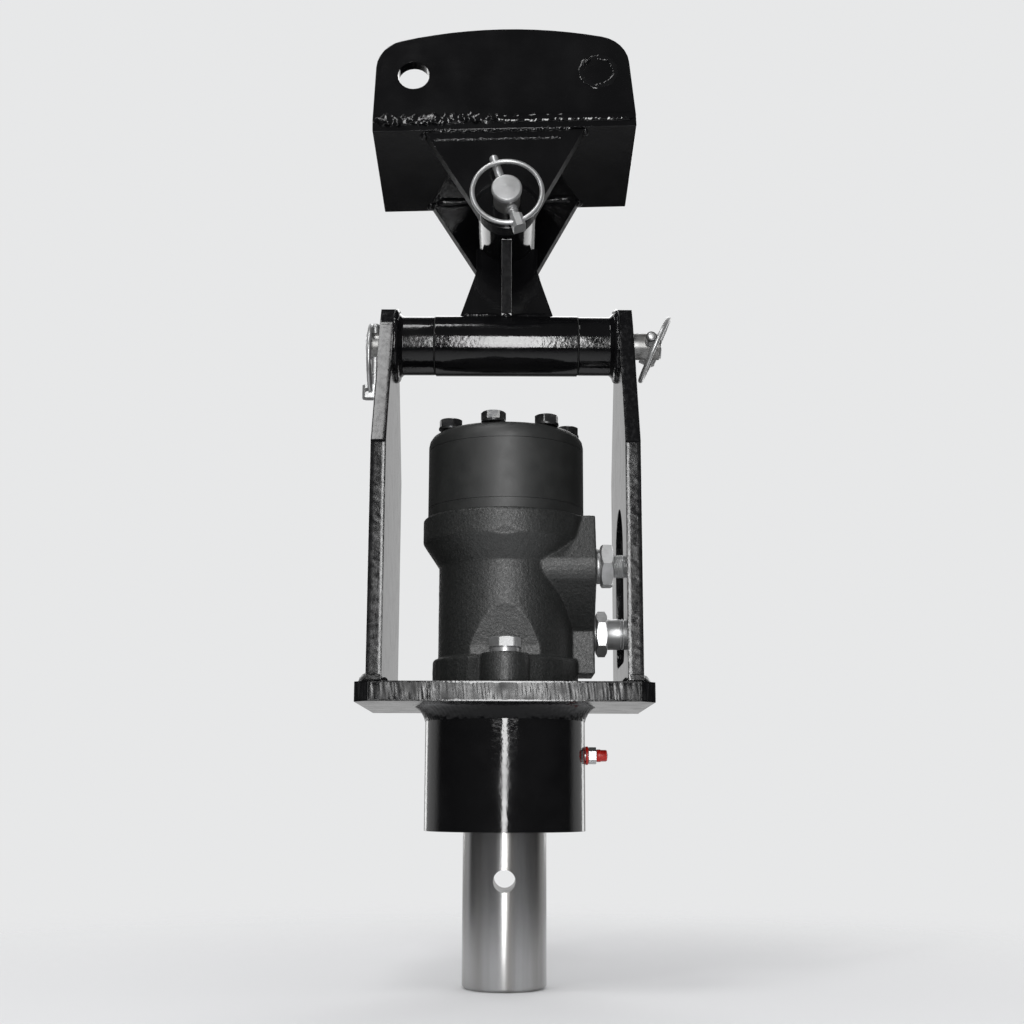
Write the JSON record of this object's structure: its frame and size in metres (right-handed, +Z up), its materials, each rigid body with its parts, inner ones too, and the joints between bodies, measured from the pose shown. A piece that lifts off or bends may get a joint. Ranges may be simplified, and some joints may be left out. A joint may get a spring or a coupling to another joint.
{
  "type": "earth auger drive",
  "caption": "Hydraulic earth auger drive: motor over a bearing hub with a round output shaft, hung in a yoke from a double pivot hitch.",
  "frame": {"origin": "centre of the auger shaft's lower end face", "axes": "+Z up the shaft toward the hitch, +X toward the motor's hose ports, -Y toward the front with the cut plate corners"},
  "size_m": [0.2559, 0.1818, 0.783],
  "materials": {
    "black_paint": "gloss black paint",
    "bright_steel": "turned bright steel",
    "zinc_plate": "bright zinc plate",
    "motor_casting": "dark grey painted casting, fine grain",
    "motor_smooth_grey": "dark grey paint on machined iron, satin",
    "black_oxide": "black oxide",
    "bearing_steel": "ground steel",
    "liner_bronze": "bronze liner",
    "seal_rubber": "black nitrile rubber",
    "red_plastic": "red polyethylene cap"
  },
  "bodies": {
    "hitch": {"hitch_ear_front": "black_paint", "hitch_ear_rear": "black_paint", "hitch_base_plate": "black_paint", "hitch_cross_pin": "black_paint", "hitch_lug_front": "black_paint", "hitch_lug_rear": "black_paint", "upper_pin": "zinc_plate", "linch_pin_front": "zinc_plate", "linch_pin_rear": "zinc_plate"},
    "cradle": {"cradle_lower_tube": "black_paint", "cradle_upper_tube": "black_paint", "cradle_lower_liner": "liner_bronze", "cradle_upper_liner": "liner_bronze", "cradle_web": "black_paint"},
    "yoke": {"yoke_base_plate": "black_paint", "yoke_leg_left": "black_paint", "yoke_leg_right": "black_paint", "yoke_bush_left": "black_paint", "yoke_bush_right": "black_paint", "lower_pin": "zinc_plate", "linch_pin_left": "zinc_plate", "linch_pin_right": "zinc_plate", "hub_housing": "black_paint", "hub_shaft_seal": "seal_rubber", "bearing_circlip": "black_oxide", "lower_bearing_outer_race": "bearing_steel", "upper_bearing_outer_race": "bearing_steel", "grease_nipple": "zinc_plate", "motor_housing": "motor_casting", "motor_spacer_plate": "motor_smooth_grey", "gerotor_ring": "motor_smooth_grey", "motor_end_cover": "motor_smooth_grey", "motor_shaft_seal": "seal_rubber", "port_adapter_upper": "zinc_plate", "port_adapter_lower": "zinc_plate", "motor_flange_bolt_front": "zinc_plate", "motor_flange_bolt_rear": "zinc_plate", "cover_bolt_1": "black_oxide", "cover_bolt_2": "black_oxide", "cover_bolt_3": "black_oxide", "cover_bolt_4": "black_oxide", "cover_bolt_5": "black_oxide", "cover_bolt_6": "black_oxide", "cover_bolt_7": "black_oxide"},
    "output": {"auger_shaft": "bright_steel", "lower_bearing_inner_race": "bearing_steel", "upper_bearing_inner_race": "bearing_steel", "bearing_spacer": "bright_steel", "shaft_locknut": "black_oxide", "motor_output_shaft": "bright_steel", "drive_key": "bright_steel"},
    "lower_ball_ring": {"lower_bearing_balls": "bearing_steel"},
    "upper_ball_ring": {"upper_bearing_balls": "bearing_steel"},
    "drive_link": {"cardan_shaft": "bright_steel"},
    "star": {"gerotor_star": "bearing_steel"},
    "nipple_cap": {"nipple_cap": "red_plastic"},
    "ring_front": {"linch_ring_front": "zinc_plate"},
    "ring_rear": {"linch_ring_rear": "zinc_plate"},
    "ring_left": {"linch_ring_left": "zinc_plate"},
    "ring_right": {"linch_ring_right": "zinc_plate"}
  },
  "joints": [
    {"name": "cradle_swing", "type": "hinge", "parent": "hitch", "child": "cradle", "pos_m": [0, 0.01357, 0.60987], "axis": [0, 0.9907, -0.1357], "range_deg": [-41.7, 38.3]},
    {"name": "yoke_swing", "type": "hinge", "parent": "cradle", "child": "yoke", "pos_m": [0, 0, 0.5108], "axis": [1, 0, 0], "range_deg": [-83, 67]},
    {"name": "auger_spin", "type": "hinge", "parent": "yoke", "child": "output", "pos_m": [0, 0, 0], "axis": [0, 0, 1], "continuous": true},
    {"name": "lower_balls_spin", "type": "hinge", "parent": "yoke", "child": "lower_ball_ring", "pos_m": [0, 0, 0], "axis": [0, 0, 1], "continuous": true},
    {"name": "upper_balls_spin", "type": "hinge", "parent": "yoke", "child": "upper_ball_ring", "pos_m": [0, 0, 0], "axis": [0, 0, 1], "continuous": true},
    {"name": "drive_link_orbit", "type": "hinge", "parent": "yoke", "child": "drive_link", "pos_m": [0, 0, 0], "axis": [0, 0, 1], "continuous": true},
    {"name": "star_spin", "type": "hinge", "parent": "drive_link", "child": "star", "pos_m": [0.00075, -0.00291, 0.3943], "axis": [0, 0, 1], "continuous": true},
    {"name": "nipple_cap_pull", "type": "slide", "parent": "yoke", "child": "nipple_cap", "axis": [1, 0, 0], "range_m": [0, 0.015]},
    {"name": "ring_front_hinge", "type": "hinge", "parent": "hitch", "child": "ring_front", "pos_m": [0.00896, -0.06859, 0.59329], "axis": [0.9511, 0.0419, 0.3062], "range_deg": [0, 150]},
    {"name": "ring_rear_hinge", "type": "hinge", "parent": "hitch", "child": "ring_rear", "pos_m": [0.00896, 0.08825, 0.57181], "axis": [-0.9511, -0.0419, -0.3062], "range_deg": [0, 150]},
    {"name": "ring_left_hinge", "type": "hinge", "parent": "yoke", "child": "ring_left", "pos_m": [-0.1148, 0, 0.4708], "axis": [0, -1, 0], "range_deg": [0, 150]},
    {"name": "ring_right_hinge", "type": "hinge", "parent": "yoke", "child": "ring_right", "pos_m": [0.12326, 0.029, 0.50835], "axis": [0.4226, 0, 0.9063], "range_deg": [0, 150]}
  ],
  "couplings": [
    {"joint": "lower_balls_spin", "follows": "auger_spin", "ratio": 0.42903},
    {"joint": "upper_balls_spin", "follows": "auger_spin", "ratio": 0.42903},
    {"joint": "drive_link_orbit", "follows": "auger_spin", "ratio": -6},
    {"joint": "star_spin", "follows": "auger_spin", "ratio": 7}
  ]
}
